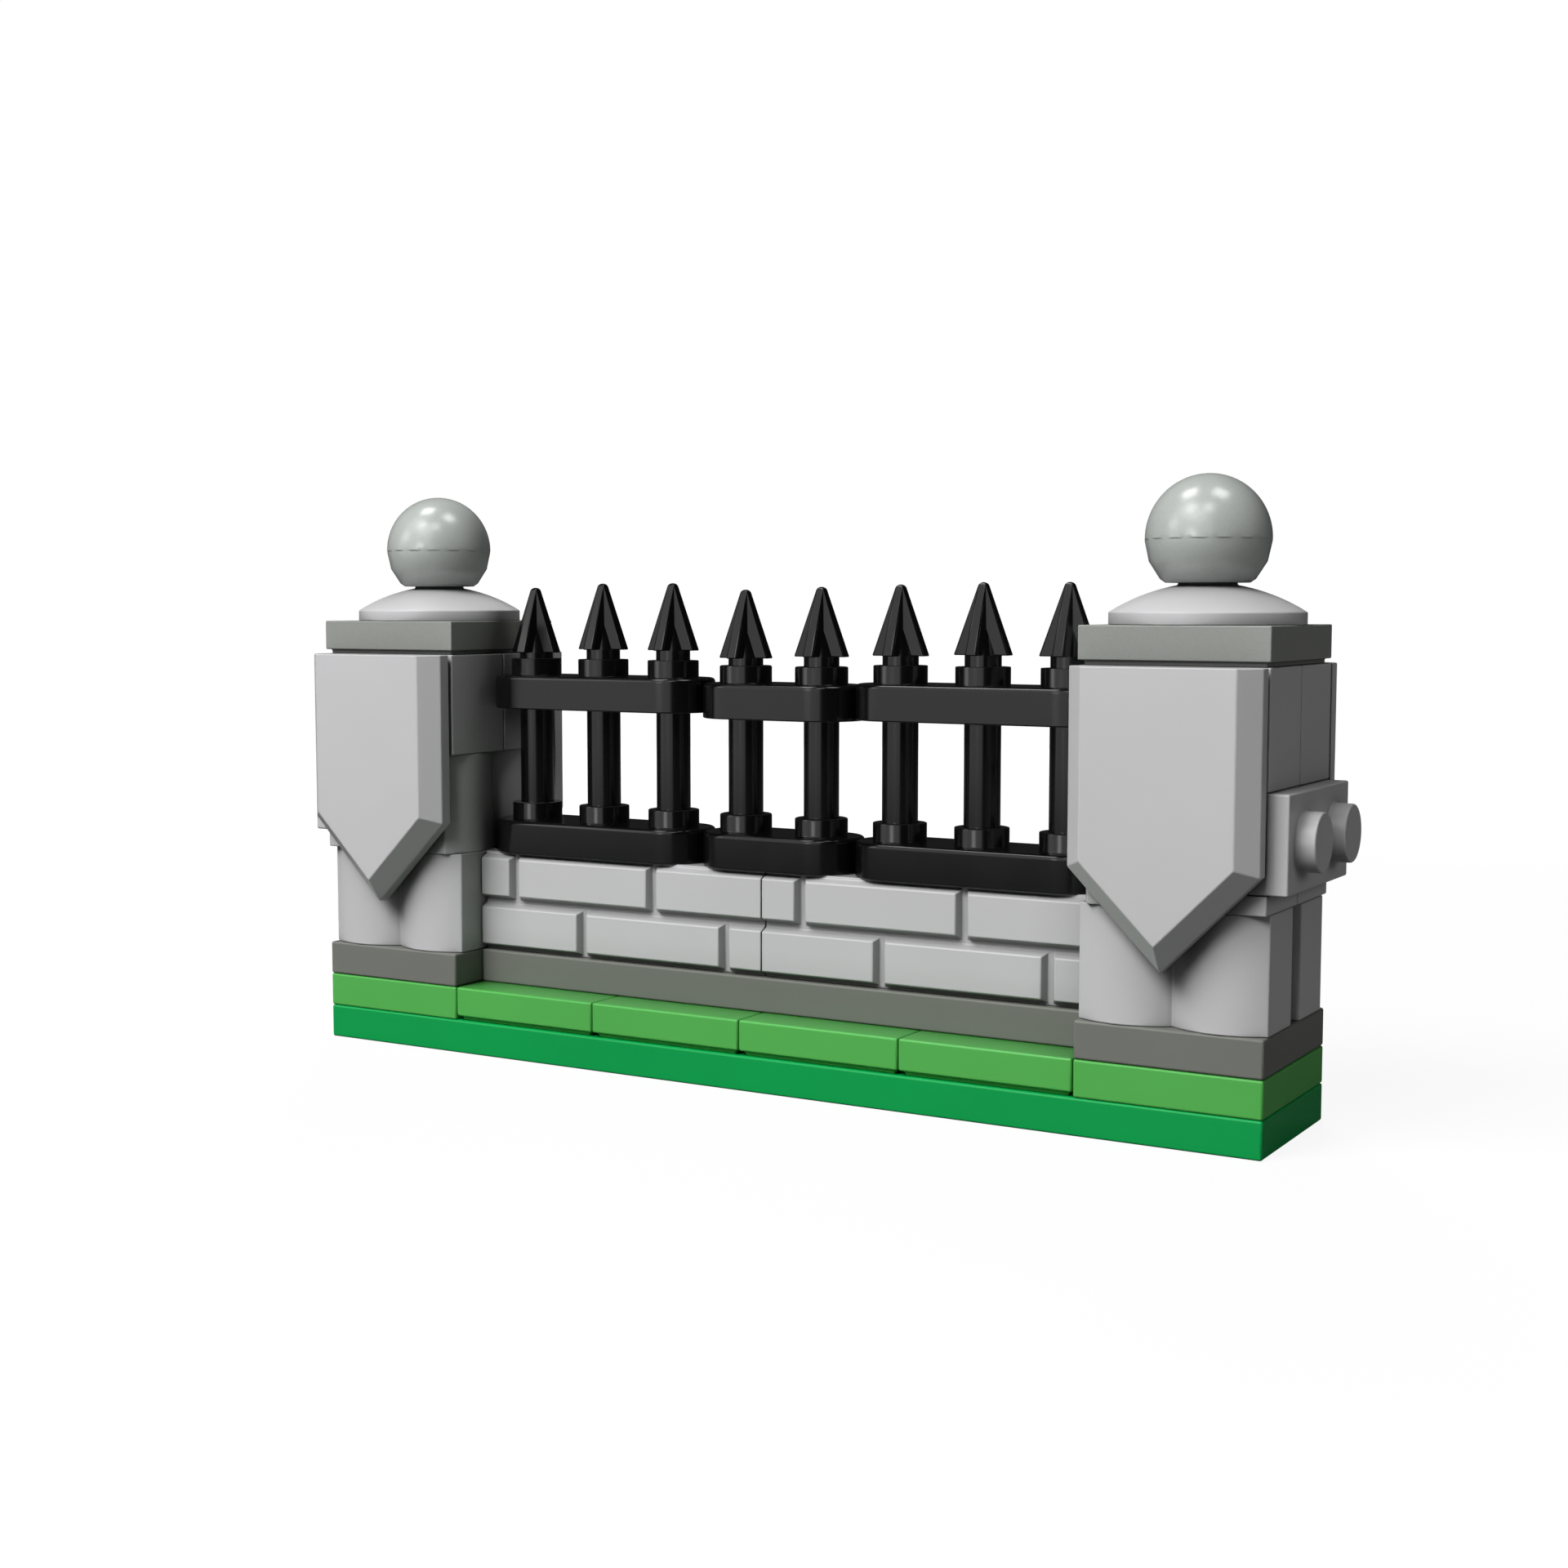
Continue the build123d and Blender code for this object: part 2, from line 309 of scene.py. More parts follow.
def moved(tree, geometry, x=0.0, y=0.0, z=0.0, turn=0.0):
    place = vector(tree, x, y, z)
    return addNode(tree, "GeometryNodeTransform", {"Geometry": geometry, "Translation": place,
                                                   "Rotation": (0.0, 0.0, turn)})[0]


def joined(tree, *parts):
    return addNode(tree, "GeometryNodeJoinGeometry", {"Geometry": list(parts)})[0]


def united(tree, *parts):
    return addNode(tree, "GeometryNodeMeshBoolean", {"Mesh 2": list(parts), "Self Intersection": True},
                   operation="UNION", solver="EXACT")[0]


def welded(tree, geometry):
    close = edgeWork["weld"] * mm
    return addNode(tree, "GeometryNodeMergeByDistance", {"Geometry": geometry, "Distance": close})[0]


# wall blocks with bricks in relief, running bond
wallBlock = {"rows": 2, "bricks": 3, "brickLength": 16.0, "firstJoint": -20.0, "joint": 1.2,
             "relief": 0.8, "draft": 0.36, "sink": 0.2, "edge": 0.13, "steps": 3}


def wallTree(sizes):
    tree, size = openTree("brickRelief", sizes)
    half = sums(tree, "MULTIPLY", size["Length"], 0.5)
    rowHeight = sums(tree, "DIVIDE", size["Height"], size["Rows"])

    # one brick, wider at its foot, standing out towards minus Y
    deep = sums(tree, "ADD", size["Relief"], size["Sink"])
    long = sums(tree, "SUBTRACT", size["Brick Length"], size["Joint"])
    tall = sums(tree, "SUBTRACT", rowHeight, size["Joint"])
    cube = addNode(tree, "GeometryNodeMeshCube", {"Size": vector(tree, long, deep, tall)})["Mesh"]
    spot = addNode(tree, "ShaderNodeSeparateXYZ", {0: addNode(tree, "GeometryNodeInputPosition")[0]})
    foot = sums(tree, "GREATER_THAN", spot["Y"], 0.0)
    slope = sums(tree, "DIVIDE", deep, size["Relief"])
    spread = sums(tree, "MULTIPLY", foot, sums(tree, "MULTIPLY", size["Draft"], slope))
    flareX = sums(tree, "MULTIPLY", sums(tree, "SIGN", spot["X"]), spread)
    flareZ = sums(tree, "MULTIPLY", sums(tree, "SIGN", spot["Z"]), spread)
    flared = vector(tree, flareX, 0.0, flareZ)
    brick = addNode(tree, "GeometryNodeSetPosition", {"Geometry": cube, "Offset": flared})[0]

    # the bond: every other row shifts by half a brick
    index = addNode(tree, "GeometryNodeInputIndex")[0]
    row = sums(tree, "FLOOR", sums(tree, "DIVIDE", sums(tree, "ADD", index, 0.5), size["Bricks"]))
    column = sums(tree, "SUBTRACT", index, sums(tree, "MULTIPLY", row, size["Bricks"]))
    shift = sums(tree, "MULTIPLY", sums(tree, "MODULO", row, 2.0), 0.5)
    middle = sums(tree, "ADD", sums(tree, "SUBTRACT", column, shift), 0.5)
    brickX = sums(tree, "ADD", size["First Joint"], sums(tree, "MULTIPLY", size["Brick Length"], middle))
    brickZ = sums(tree, "MULTIPLY", rowHeight, sums(tree, "ADD", row, 0.5))
    faceY = sums(tree, "MULTIPLY", size["Depth"], -0.5)
    brickY = sums(tree, "ADD", faceY, sums(tree, "MULTIPLY", deep, 0.5))
    count = sums(tree, "MULTIPLY", size["Rows"], size["Bricks"])
    brickPlace = vector(tree, brickX, brickY, brickZ)
    spots = addNode(tree, "GeometryNodePoints", {"Count": count, "Position": brickPlace})[0]
    rows = addNode(tree, "GeometryNodeInstanceOnPoints", {"Points": spots, "Instance": brick})[0]
    real = addNode(tree, "GeometryNodeRealizeInstances", {"Geometry": rows})[0]

    # bricks that run past the block's ends stop there
    spot = addNode(tree, "ShaderNodeSeparateXYZ", {0: addNode(tree, "GeometryNodeInputPosition")[0]})
    low = sums(tree, "MULTIPLY", half, -1.0)
    ended = addNode(tree, "ShaderNodeClamp", {"Value": spot["X"], "Min": low, "Max": half})[0]
    kept = vector(tree, ended, spot["Y"], spot["Z"])
    front = addNode(tree, "GeometryNodeSetPosition", {"Geometry": real, "Position": kept})[0]
    back = moved(tree, front, turn=math.pi)

    coreDepth = sums(tree, "SUBTRACT", size["Depth"], sums(tree, "MULTIPLY", size["Relief"], 2.0))
    coreSize = vector(tree, size["Length"], coreDepth, size["Height"])
    core = addNode(tree, "GeometryNodeMeshCube", {"Size": coreSize})["Mesh"]
    core = moved(tree, core, z=sums(tree, "MULTIPLY", size["Height"], 0.5))
    whole = united(tree, core, front, back)
    closeTree(tree, size, moved(tree, whole, size["X"], 0.0, size["Z"]))
    return tree


def buildWall():
    tree = None
    for i in (1, 2):
        low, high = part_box(f"wall_block_{i}")
        sizes = {
            "Length": high.x - low.x, "Depth": high.y - low.y, "Height": high.z - low.z,
            "X": (low.x + high.x) / 2, "Z": low.z,
            "Rows": wallBlock["rows"], "Bricks": wallBlock["bricks"],
            "Brick Length": wallBlock["brickLength"] * mm, "First Joint": wallBlock["firstJoint"] * mm,
            "Joint": wallBlock["joint"] * mm, "Relief": wallBlock["relief"] * mm,
            "Draft": wallBlock["draft"] * mm, "Sink": wallBlock["sink"] * mm,
        }
        tree = tree or wallTree(sizes)
        piece = grow(f"wallBlock{i}", tree, sizes, "light_grey")
        setPiece(piece, f"wall_block_{i}", "light_grey", [(wallBlock["edge"], wallBlock["steps"])])


buildWall()
print("wall: brick relief")

# railing: round-ended rails with open collars, and the spears that stand in them
rails = {
    "collarRadius": 2.4, "collarHeight": 1.6, "bore": 1.63, "sides": 48,
    "roundEnd": 16, "endShare": 0.49999,  # the ends bend by just under half the width
    "edge": 0.40, "edgeSteps": 5, "footEdge": 0.12, "footSteps": 3, "collarEdge": 0.12, "collarSteps": 2,
    "rimSlack": 0.05, "outlineSlack": 0.2,  # room around a collar when its edges are told from the rail's own
    "level": 0.9,  # a face whose normal rises this much is level
}
spears = {"count": 8, "barRadius": 1.6, "headHeight": 6.27, "finReach": 2.6, "finThickness": 1.16,
          "tipRadius": 0.42, "tipLean": 20.0, "tipSteps": 6, "tipRound": 0.32,
          "coreRadius": 1.5, "coreTip": 0.12, "coreHeight": 4.0, "sides": 48,
          "edge": 0.24, "footEdge": 0.10, "steps": 4,
          "finSide": 2.0}  # a head's face larger than this, in square millimetres, is a fin's flat side
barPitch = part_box("spear_2")[0].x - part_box("spear_1")[0].x
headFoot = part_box("spear_1")[1].z - spears["headHeight"] * mm


def railTree(sizes):
    tree, size = openTree("railPlate", sizes)
    top = size["Thickness"]
    rim = sums(tree, "ADD", top, size["Collar Height"])
    plan = {"Width": size["Length"], "Height": size["Width"]}
    box = addNode(tree, "GeometryNodeCurvePrimitiveQuadrilateral", plan)[0]
    bend = sums(tree, "MULTIPLY", size["Width"], rails["endShare"])
    corners = {"Curve": box, "Radius": bend, "Count": size["Round End"], "Limit Radius": True}
    outline = addNode(tree, "GeometryNodeFilletCurve", corners, mode="POLY")[0]
    lastBar = sums(tree, "SUBTRACT", size["Bars"], 1.0)
    startX = sums(tree, "MULTIPLY", sums(tree, "MULTIPLY", lastBar, size["Pitch"]), -0.5)
    row = {"Start Location": vector(tree, startX), "Offset": vector(tree, size["Pitch"])}
    bars = addNode(tree, "GeometryNodeMeshLine", {"Count": size["Bars"], **row})[0]

    def rings(radius):
        circle = {"Resolution": size["Sides"], "Radius": radius}
        hoop = addNode(tree, "GeometryNodeCurvePrimitiveCircle", circle)[0]
        placed = addNode(tree, "GeometryNodeInstanceOnPoints", {"Points": bars, "Instance": hoop})[0]
        return addNode(tree, "GeometryNodeRealizeInstances", {"Geometry": placed})[0]

    def cover(height, *curves):
        face = addNode(tree, "GeometryNodeFillCurve", {"Curve": joined(tree, *curves)}, mode="NGONS")[0]
        return moved(tree, face, z=height)

    def wall(curve, foot, height):
        line = moved(tree, addNode(tree, "GeometryNodeCurveToMesh", {"Curve": curve})[0], z=foot)
        rise = {"Mesh": line, "Offset": vector(tree, z=height)}
        return addNode(tree, "GeometryNodeExtrudeMesh", rise, mode="EDGES")[0]

    collars = rings(size["Collar Radius"])
    bores = rings(size["Bore"])
    shell = joined(
        tree,
        cover(0.0, outline, bores), cover(top, outline, collars), cover(rim, collars, bores),
        wall(outline, 0.0, top), wall(collars, top, size["Collar Height"]), wall(bores, 0.0, rim),
    )
    closeTree(tree, size, moved(tree, welded(tree, shell), size["X"], 0.0, size["Z"]))
    return tree


def spearTree(sizes):
    tree, size = openTree("spear", sizes)
    bar = addNode(tree, "GeometryNodeMeshCylinder", {"Vertices": size["Sides"], "Radius": size["Bar Radius"],
                                                     "Depth": size["Bar Length"]})["Mesh"]
    bar = moved(tree, bar, z=sums(tree, "MULTIPLY", size["Bar Length"], 0.5))
    cone = {"Vertices": size["Sides"], "Radius Top": size["Core Tip"],
            "Radius Bottom": size["Core Radius"], "Depth": size["Core Height"]}
    core = moved(tree, addNode(tree, "GeometryNodeMeshCone", cone)["Mesh"], z=size["Bar Length"])

    # four fins: rings in the form of a cross with round corners, from the underside up to a round tip
    steps = size["Edge Steps"]
    perFin = sums(tree, "ADD", sums(tree, "MULTIPLY", steps, 2.0), 3.0)
    columns = sums(tree, "MULTIPLY", perFin, 4.0)
    tipRow = sums(tree, "ADD", steps, 2.0)
    lastRow = sums(tree, "ADD", tipRow, size["Tip Steps"])
    net = addNode(tree, "GeometryNodeMeshGrid", {"Size X": columns, "Size Y": lastRow,
                                                 "Vertices X": sums(tree, "ADD", columns, 1.0),
                                                 "Vertices Y": sums(tree, "ADD", lastRow, 1.0)})["Mesh"]
    spot = addNode(tree, "ShaderNodeSeparateXYZ", {0: addNode(tree, "GeometryNodeInputPosition")[0]})
    column = sums(tree, "ROUND", sums(tree, "ADD", spot["X"], sums(tree, "MULTIPLY", columns, 0.5)))
    row = sums(tree, "ROUND", sums(tree, "ADD", spot["Y"], sums(tree, "MULTIPLY", lastRow, 0.5)))
    inTip = sums(tree, "GREATER_THAN", row, sums(tree, "SUBTRACT", tipRow, 0.5))
    inFoot = sums(tree, "SUBTRACT", sums(tree, "GREATER_THAN", row, 0.5), inTip)

    # the underside's edge turns up over a quarter circle
    quarter = math.pi / 2
    footTurn = sums(tree, "MULTIPLY", sums(tree, "DIVIDE", sums(tree, "SUBTRACT", row, 1.0), steps), quarter)
    footEdge = size["Foot Edge"]
    inset = sums(tree, "MULTIPLY", footEdge, sums(tree, "SUBTRACT", 1.0, sums(tree, "SINE", footTurn)))
    footLevel = sums(tree, "MULTIPLY", footEdge, sums(tree, "SUBTRACT", 1.0, sums(tree, "COSINE", footTurn)))
    footReach = sums(tree, "SUBTRACT", size["Fin Reach"], inset)
    footFlank = sums(tree, "SUBTRACT", sums(tree, "MULTIPLY", size["Fin Thickness"], 0.5), inset)
    footBend = sums(tree, "SUBTRACT", size["Edge"], inset)

    # the tip closes over the rest of one
    share = sums(tree, "DIVIDE", sums(tree, "SUBTRACT", row, tipRow), size["Tip Steps"])
    rise = sums(tree, "SUBTRACT", quarter, size["Tip Lean"])
    lean = sums(tree, "ADD", size["Tip Lean"], sums(tree, "MULTIPLY", share, rise))
    tipWide = sums(tree, "MULTIPLY", size["Tip Radius"], sums(tree, "COSINE", lean))
    dome = sums(tree, "MULTIPLY", size["Tip Radius"], sums(tree, "SUBTRACT", 1.0, sums(tree, "SINE", lean)))
    tipLevel = sums(tree, "SUBTRACT", size["Head Height"], dome)
    tipBend = sums(tree, "MULTIPLY", tipWide, size["Tip Round"])

    def byRow(foot, tip):
        return sums(tree, "ADD", sums(tree, "MULTIPLY", inFoot, foot), sums(tree, "MULTIPLY", inTip, tip))

    reach = byRow(footReach, tipWide)
    flank = byRow(footFlank, tipWide)
    bend = byRow(footBend, tipBend)
    height = byRow(footLevel, tipLevel)

    # round each fin: its two corners, then the inner corner to the next fin, which all meet at the tip
    fin = sums(tree, "FLOOR", sums(tree, "DIVIDE", sums(tree, "ADD", column, 0.5), perFin))
    step = sums(tree, "SUBTRACT", column, sums(tree, "MULTIPLY", fin, perFin))
    second = sums(tree, "GREATER_THAN", step, sums(tree, "ADD", steps, 0.5))
    inner = sums(tree, "GREATER_THAN", step, sums(tree, "SUBTRACT", perFin, 1.5))
    past = sums(tree, "SUBTRACT", sums(tree, "SUBTRACT", step, steps), second)
    bendTurn = byRow(quarter, quarter / 2)
    angle = sums(tree, "MULTIPLY", sums(tree, "DIVIDE", past, steps), bendTurn)
    cut = sums(tree, "MULTIPLY", tipBend, 1 - math.cos(quarter / 2))
    nook = byRow(footFlank, sums(tree, "SUBTRACT", tipWide, cut))
    side = sums(tree, "SUBTRACT", sums(tree, "MULTIPLY", second, 2.0), 1.0)
    endX = sums(tree, "ADD", sums(tree, "SUBTRACT", reach, bend),
                sums(tree, "MULTIPLY", bend, sums(tree, "COSINE", angle)))
    endY = sums(tree, "ADD", sums(tree, "MULTIPLY", side, sums(tree, "SUBTRACT", flank, bend)),
                sums(tree, "MULTIPLY", bend, sums(tree, "SINE", angle)))
    out = sums(tree, "ADD", endX, sums(tree, "MULTIPLY", inner, sums(tree, "SUBTRACT", nook, endX)))
    across = sums(tree, "ADD", endY, sums(tree, "MULTIPLY", inner, sums(tree, "SUBTRACT", nook, endY)))
    turned = {"Vector": vector(tree, out, across, height), "Angle": sums(tree, "MULTIPLY", fin, quarter)}
    place = addNode(tree, "ShaderNodeVectorRotate", turned, rotation_type="Z_AXIS")[0]
    head = addNode(tree, "GeometryNodeSetPosition", {"Geometry": net, "Position": place})[0]
    head = moved(tree, welded(tree, head), z=size["Bar Length"])
    whole = united(tree, bar, core, head)
    closeTree(tree, size, moved(tree, whole, size["X"], 0.0, size["Z"]))
    return tree


def finEdge(edge):  # around the flat sides of the fins
    sides = [f for f in edge.link_faces if f.calc_center_median().z > headFoot]
    return any(f.calc_area() > spears["finSide"] * mm * mm for f in sides)


barPlaces = []
for i in range(1, spears["count"] + 1):
    low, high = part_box(f"spear_{i}")
    barPlaces.append((low.x + high.x) / 2)


def barReach(edge):  # from the nearest bar's axis
    middle = (edge.verts[0].co + edge.verts[1].co) / 2
    return min(math.hypot(middle.x - x, middle.y) for x in barPlaces)


def collarRim(edge):
    return barReach(edge) < (rails["collarRadius"] + rails["rimSlack"]) * mm


def railOutline(edge):
    clear = (rails["collarRadius"] + rails["outlineSlack"]) * mm
    return barReach(edge) > clear or min(abs(v.co.y) for v in edge.verts) > clear


def railTop(edge):
    return railOutline(edge) and any(f.normal.z > rails["level"] for f in edge.link_faces)


def railFoot(edge):
    return railOutline(edge) and any(f.normal.z < -rails["level"] for f in edge.link_faces)


def buildRails():
    tree = None
    for level in ("lower", "upper"):
        for i in (1, 2, 3):
            node = f"{level}_rail_{i}"
            low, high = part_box(node)
            length = high.x - low.x
            sizes = {
                "Bars": round(length / barPitch), "Sides": rails["sides"], "Round End": rails["roundEnd"],
                "Pitch": barPitch, "Length": length, "Width": high.y - low.y,
                "Thickness": high.z - low.z - rails["collarHeight"] * mm,
                "Collar Radius": rails["collarRadius"] * mm, "Collar Height": rails["collarHeight"] * mm,
                "Bore": rails["bore"] * mm, "X": (low.x + high.x) / 2, "Z": low.z,
            }
            tree = tree or railTree(sizes)
            piece = grow(camel(node), tree, sizes, "black")
            setPiece(piece, node, "black", [(rails["edge"], rails["edgeSteps"], railTop),
                                            (rails["footEdge"], rails["footSteps"], railFoot),
                                            (rails["collarEdge"], rails["collarSteps"], collarRim)])


def buildSpears():
    tree = None
    for i in range(1, spears["count"] + 1):
        node = f"spear_{i}"
        low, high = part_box(node)
        sizes = {
            "Sides": spears["sides"], "Tip Steps": spears["tipSteps"], "Edge Steps": spears["steps"],
            "Edge": spears["edge"] * mm, "Foot Edge": spears["footEdge"] * mm,
            "Tip Round": spears["tipRound"], "Bar Radius": spears["barRadius"] * mm,
            "Bar Length": high.z - low.z - spears["headHeight"] * mm,
            "Head Height": spears["headHeight"] * mm, "Fin Reach": spears["finReach"] * mm,
            "Fin Thickness": spears["finThickness"] * mm, "Core Radius": spears["coreRadius"] * mm,
            "Core Tip": spears["coreTip"] * mm, "Core Height": spears["coreHeight"] * mm,
            "Tip Radius": spears["tipRadius"] * mm, "Tip Lean": math.radians(spears["tipLean"]),
            "X": (low.x + high.x) / 2, "Z": low.z,
        }
        tree = tree or spearTree(sizes)
        piece = grow(camel(node), tree, sizes, "black")
        setPiece(piece, node, "black", [], hard=finEdge)
        piece.visible_glossy = False  # the bars are dark enough without each other in their gloss


buildRails()
buildSpears()
print("railing: rails and spears")

# dishes and ball finials
dish = {"rim": 1.0, "neckRadius": 2.4, "neckHeight": 0.18,
        "shoulderRadius": 0.6, "shoulderHeight": 0.8,  # shares of the dish's own radius and height
        "sides": 96, "crownSteps": 16, "edge": 0.10, "steps": 3}
ball = {"sides": 96, "domeRings": 24, "cupSides": 16, "seam": 0.14, "lip": 0.06, "crease": math.radians(26),
        "domeHeight": 1.03, "bandRadius": (0.93, 0.753, 0.667),  # shares of the ball's radius
        "bandDrop": (0.362, 0.640, 0.699)}


def ring(bm, radius, height, centre, sides):
    made = []
    for k in range(sides):
        angle = 2 * math.pi * k / sides
        x = centre.x + radius * math.sin(angle)
        y = centre.y - radius * math.cos(angle)
        made.append(bm.verts.new((x, y, height)))
    return made


def skirt(bm, upper, lower):
    for k in range(len(upper)):
        bm.faces.new((upper[k - 1], upper[k], lower[k], lower[k - 1]))


def buildDish(side):
    node = f"{side}_dish"
    low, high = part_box(node)
    centre = (low + high) / 2
    radius = (high.x - low.x) / 2
    crownZ = high.z - dish["neckHeight"] * mm
    tall = crownZ - low.z

    # circle through the rim, the shoulder and the crown
    rimAt = Vector((radius, low.z + dish["rim"] * mm))
    shoulder = Vector((radius * dish["shoulderRadius"], low.z + tall * dish["shoulderHeight"]))
    crown = Vector((dish["neckRadius"] * mm, crownZ))
    a, b = rimAt - crown, shoulder - crown
    turn = 2 * (a.x * b.y - a.y * b.x)
    hub = crown + Vector((b.y * a.length_squared - a.y * b.length_squared,
                          a.x * b.length_squared - b.x * a.length_squared)) / turn
    reach = (crown - hub).length
    startAngle = math.atan2(rimAt.y - hub.y, rimAt.x - hub.x)
    endAngle = math.atan2(crown.y - hub.y, crown.x - hub.x)

    bm = bmesh.new()
    rings = [ring(bm, radius, low.z, centre, dish["sides"])]
    for k in range(dish["crownSteps"] + 1):
        angle = startAngle + (endAngle - startAngle) * k / dish["crownSteps"]
        out = hub.x + reach * math.cos(angle)
        level = hub.y + reach * math.sin(angle)
        rings.append(ring(bm, out, level, centre, dish["sides"]))
    rings.append(ring(bm, dish["neckRadius"] * mm, high.z, centre, dish["sides"]))
    for lower, upper in zip(rings, rings[1:]):
        skirt(bm, upper, lower)
    bm.faces.new(rings[0])
    bm.faces.new(rings[-1])
    piece = newPiece(camel(node), bpy.data.meshes.new(node))
    bm.to_mesh(piece.data)
    bm.free()
    setPiece(piece, node, "light_grey", [(dish["edge"], dish["steps"])])


def buildBall(side):
    node = f"{side}_ball"
    low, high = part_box(node)
    centre = (low + high) / 2
    radius = (high.x - low.x) / 2
    tall = radius * ball["domeHeight"]
    middle = high.z - tall
    bm = bmesh.new()

    # round dome
    rings = []
    for k in range(ball["domeRings"]):
        angle = math.pi / 2 * k / ball["domeRings"]
        level = middle + tall * math.sin(angle)
        rings.append(ring(bm, radius * math.cos(angle), level, centre, ball["sides"]))
    for lower, upper in zip(rings, rings[1:]):
        skirt(bm, upper, lower)
    top = bm.verts.new((centre.x, centre.y, high.z))
    for k in range(ball["sides"]):
        bm.faces.new((rings[-1][k - 1], rings[-1][k], top))

    # cup of straight bands below, with fewer sides, so the dome stands over its flats
    span = ball["sides"] // ball["cupSides"]
    lip = ring(bm, radius, middle - ball["seam"] * mm, centre, ball["sides"])
    corners = [v.co.copy() for v in lip[::span]]
    for k, v in enumerate(lip):
        flat, step = divmod(k, span)
        v.co = corners[flat].lerp(corners[(flat + 1) % ball["cupSides"]], step / span)
    skirt(bm, rings[0], lip)
    foot = [bm.verts.new(v.co - Vector((0.0, 0.0, ball["lip"] * mm))) for v in lip]
    skirt(bm, lip, foot)
    bands = []
    for share, drop in zip(ball["bandRadius"], ball["bandDrop"]):
        bands.append(ring(bm, radius * share, middle - radius * drop, centre, ball["cupSides"]))
    for k in range(ball["cupSides"]):
        edge = [foot[(k * span + n) % ball["sides"]] for n in range(span + 1)]
        bm.faces.new(edge + [bands[0][(k + 1) % ball["cupSides"]], bands[0][k]])
    for upper, lower in zip(bands, bands[1:]):
        skirt(bm, upper, lower)
    bm.faces.new(bands[-1])
    piece = newPiece(camel(node), bpy.data.meshes.new(node))
    bm.to_mesh(piece.data)
    bm.free()
    setPiece(piece, node, "silver_grey", [], ball["crease"], even=False)
    piece.data.materials[0] = pearlPaintedLightPlastic


for side in ("left", "right"):
    buildDish(side)
    buildBall(side)
print("finials: dishes and balls")

# floor, light and camera
floorLook = {"radius": 0.45, "sides": 96, "grey": 0.08, "shown": 0.90,  # radii in metres
             "sweepFrom": 0.18, "sweepTo": 0.38}  # where the floor fades into the white background
studio = {  # angles in degrees; the gloss sees white on the open side and the ambient elsewhere
    "ambient": 0.02, "openSide": -18.0, "openHalf": 42.0, "openSoft": 4.0, "openTop": 52.0, "topSoft": 14.0,
}
softboxes = {  # they light the surfaces; distances and sizes in metres
    "frontSoftbox": {"azimuth": -2, "elevation": 41, "distance": 0.60, "size": 0.26, "watts": 2.55},
    "upperSoftbox": {"azimuth": -28, "elevation": 48, "distance": 0.60, "size": 0.24, "watts": 2.85},
    "sideFill": {"azimuth": 100, "elevation": 18, "distance": 0.60, "size": 0.30, "watts": 0.48},
    "backFill": {"azimuth": -155, "elevation": 30, "distance": 0.65, "size": 0.35, "watts": 2.6},
}
glints = {  # small lamps that only show in the gloss
    "ceilingLeft": {"azimuth": -79, "elevation": 70, "distance": 0.60, "size": 0.19, "watts": 0.76},
    "ceilingRight": {"azimuth": 97, "elevation": 72, "distance": 0.60, "size": 0.19, "watts": 0.60},
    "frontLeft": {"azimuth": -20, "elevation": 52, "distance": 0.60, "size": 0.15, "watts": 0.22},
    "frontRight": {"azimuth": 26, "elevation": 54, "distance": 0.60, "size": 0.15, "watts": 0.25},
    "sideLow": {"azimuth": -47, "elevation": 23, "distance": 0.60, "size": 0.15, "watts": 0.15},
    "frontLow": {"azimuth": -7, "elevation": 9, "distance": 0.60, "size": 0.15, "watts": 0.28},
}
view = {"azimuth": 30.645, "elevation": 4.831, "distance": 195.29, "target": (0.07, 0.0, 26.886),
        "lens": 49.13, "sensor": 36.0, "nearest": 5.0, "farthest": 20000.0}


def towards(azimuth, elevation):
    a, e = math.radians(azimuth), math.radians(elevation)
    return Vector((math.sin(a) * math.cos(e), -math.cos(a) * math.cos(e), math.sin(e)))


def openSideMask(tree, direction):
    level = vectorSums(tree, "NORMALIZE", vectorSums(tree, "MULTIPLY", direction, (1.0, 1.0, 0.0)))
    ahead = vectorSums(tree, "DOT_PRODUCT", level, towards(studio["openSide"], 0))
    edge = math.radians(studio["openHalf"])
    soft = math.radians(studio["openSoft"])
    beside = mapped(tree, ahead, 0.0, 1.0, math.cos(edge + soft), math.cos(edge))
    up = addNode(tree, "ShaderNodeSeparateXYZ", {0: direction})["Z"]
    low = math.sin(math.radians(studio["openTop"]))
    high = math.sin(math.radians(studio["openTop"] + studio["topSoft"]))
    below = mapped(tree, up, 0.0, 1.0, high, low)
    return sums(tree, "MULTIPLY", beside, below)


def whiteRays(tree, glossyMask):
    rays = addNode(tree, "ShaderNodeLightPath")
    glossy = sums(tree, "MULTIPLY", rays["Is Glossy Ray"], glossyMask)
    seen = sums(tree, "MAXIMUM", rays["Is Camera Ray"], rays["Is Transmission Ray"])
    return sums(tree, "MAXIMUM", seen, glossy)


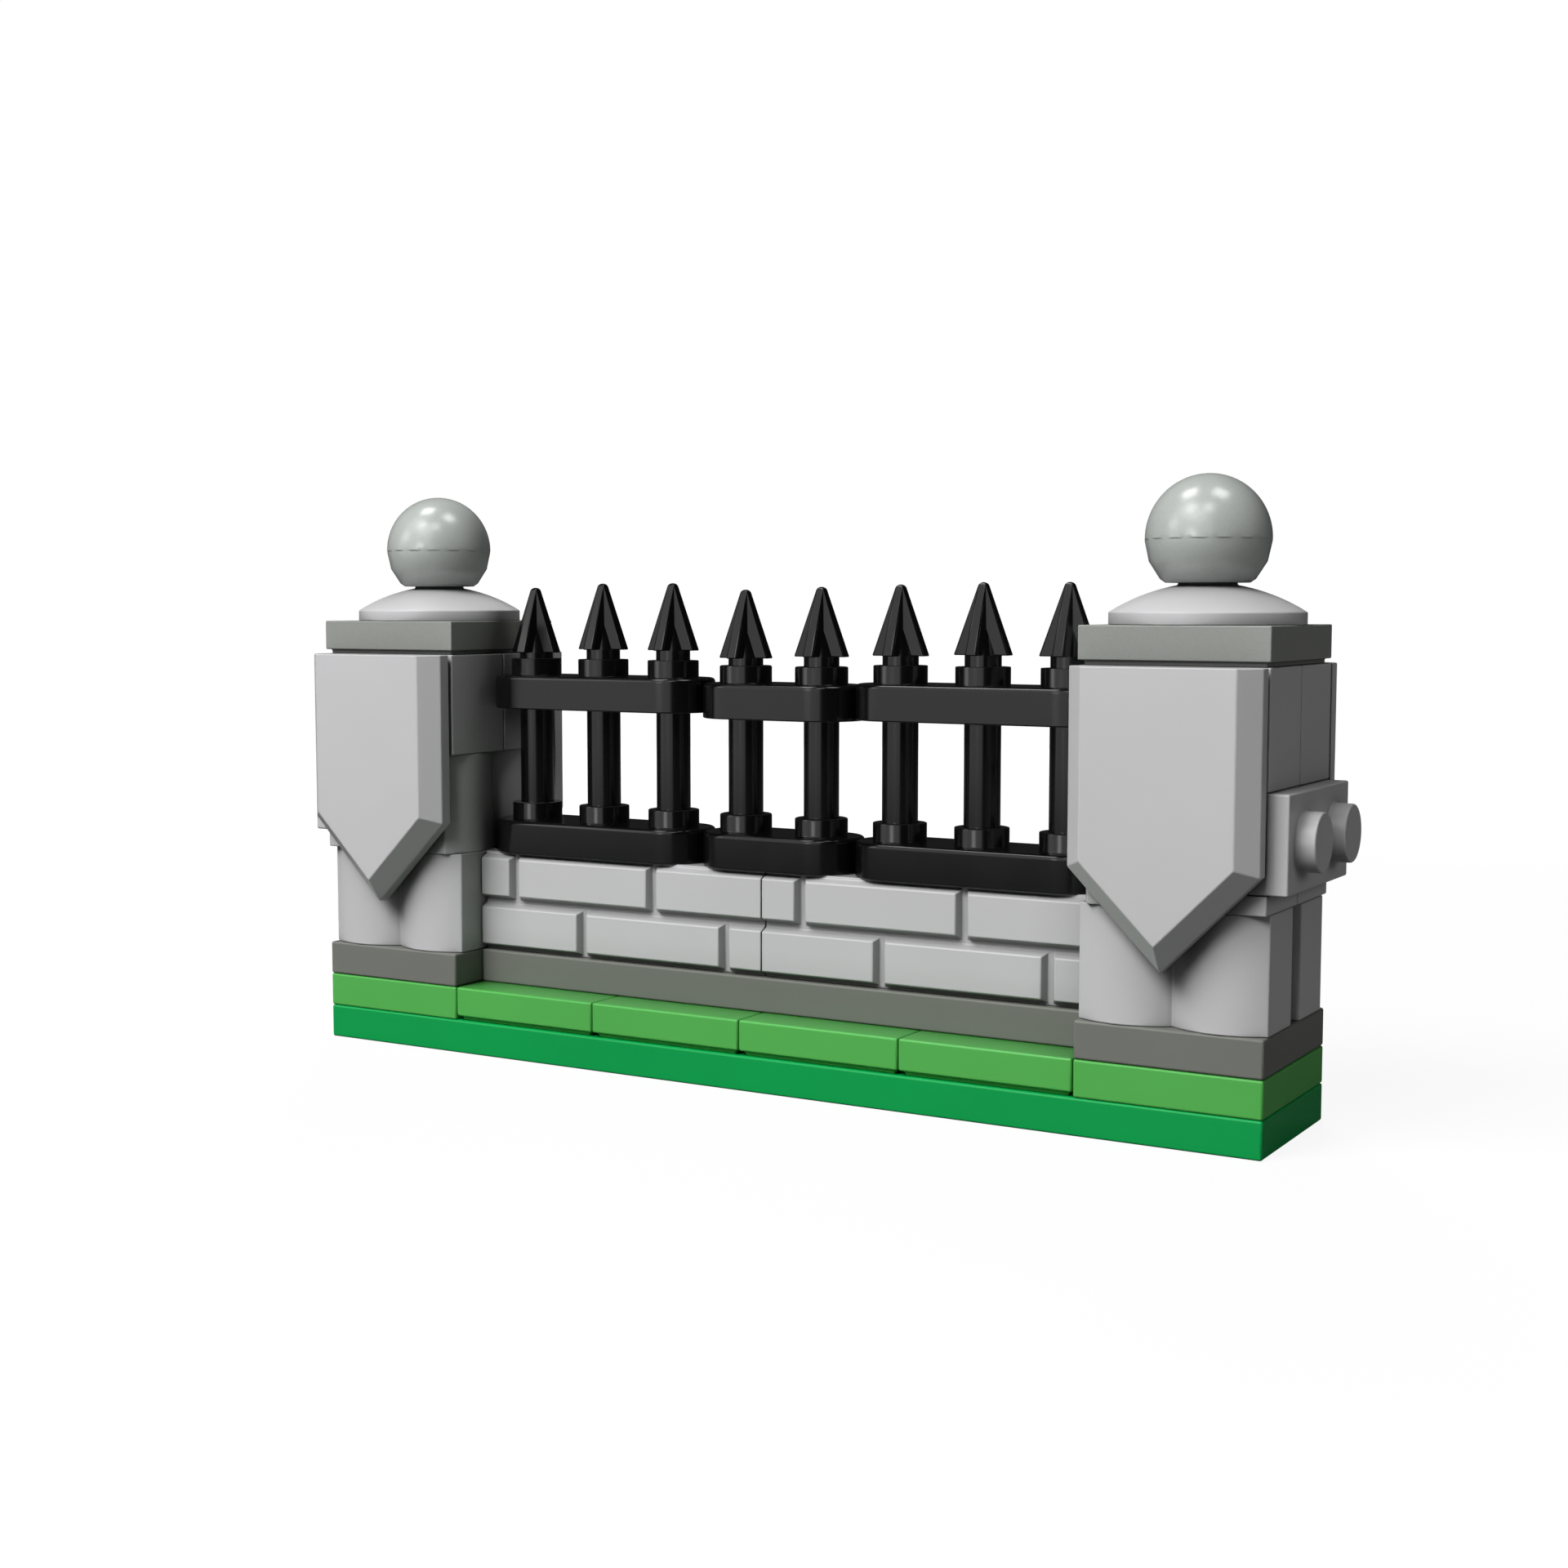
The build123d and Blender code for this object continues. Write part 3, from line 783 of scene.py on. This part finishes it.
def buildFloor():
    bm = bmesh.new()
    bmesh.ops.create_circle(bm, cap_ends=True, radius=floorLook["radius"], segments=floorLook["sides"])
    floor = newPiece("floor", bpy.data.meshes.new("floor"))
    bm.to_mesh(floor.data)
    bm.free()
    material = bpy.data.materials.new("paleFloor")
    material.use_nodes = True
    tree = material.node_tree
    tree.nodes.clear()
    place = addNode(tree, "ShaderNodeTexCoord")["Object"]
    reach = vectorSums(tree, "LENGTH", place)
    sweep = mapped(tree, reach, 0.0, 1.0, floorLook["sweepFrom"], floorLook["sweepTo"])
    ahead = vectorSums(tree, "NORMALIZE", place)
    white = whiteRays(tree, sums(tree, "MULTIPLY", sweep, openSideMask(tree, ahead)))
    shown = mapped(tree, sweep, floorLook["shown"], 1.0)
    glow = addNode(tree, "ShaderNodeEmission", {"Strength": sums(tree, "MULTIPLY", white, shown)})[0]
    grey = floorLook["grey"]
    cloth = addNode(tree, "ShaderNodeBsdfDiffuse", {"Color": (grey, grey, grey, 1.0)})[0]
    both = addNode(tree, "ShaderNodeAddShader", {0: cloth, 1: glow})[0]
    addNode(tree, "ShaderNodeOutputMaterial", {"Surface": both})
    floor.data.materials.append(material)


def buildWorld():
    world = bpy.data.worlds.new("studio")
    scene.world = world
    world.use_nodes = True
    tree = world.node_tree
    direction = addNode(tree, "ShaderNodeTexCoord")["Generated"]
    white = whiteRays(tree, openSideMask(tree, direction))
    level = mapped(tree, white, studio["ambient"], 1.0)
    background = tree.nodes["Background"]
    background.inputs["Color"].default_value = (1.0, 1.0, 1.0, 1.0)
    tree.links.new(level, background.inputs["Strength"])


def buildLamps(lamps, lit):
    target = Vector(view["target"]) * mm
    for name, panel in lamps.items():
        lamp = bpy.data.lights.new(name, "AREA")
        lamp.shape = "SQUARE"
        lamp.size = panel["size"]
        lamp.energy = panel["watts"]
        holder = bpy.data.objects.new(name, lamp)
        scene.collection.objects.link(holder)
        out = towards(panel["azimuth"], panel["elevation"])
        holder.location = target + out * panel["distance"]
        holder.rotation_mode = "QUATERNION"
        holder.rotation_quaternion = (-out).to_track_quat("-Z", "Y")
        holder.visible_camera = False
        holder.visible_diffuse = lit
        holder.visible_glossy = not lit


def buildCamera():
    lens = bpy.data.cameras.new("view")
    lens.lens = view["lens"]
    lens.sensor_width = view["sensor"]
    lens.clip_start = view["nearest"] * mm
    lens.clip_end = view["farthest"] * mm
    camera = bpy.data.objects.new("view", lens)
    scene.collection.objects.link(camera)
    out = towards(view["azimuth"], view["elevation"])
    camera.location = (Vector(view["target"]) + out * view["distance"]) * mm
    camera.rotation_mode = "QUATERNION"
    camera.rotation_quaternion = (-out).to_track_quat("-Z", "Y")
    scene.camera = camera


buildFloor()
buildWorld()
buildLamps(softboxes, True)
buildLamps(glints, False)
buildCamera()
scene.view_settings.view_transform = "Standard"
print("studio: floor, light and camera")
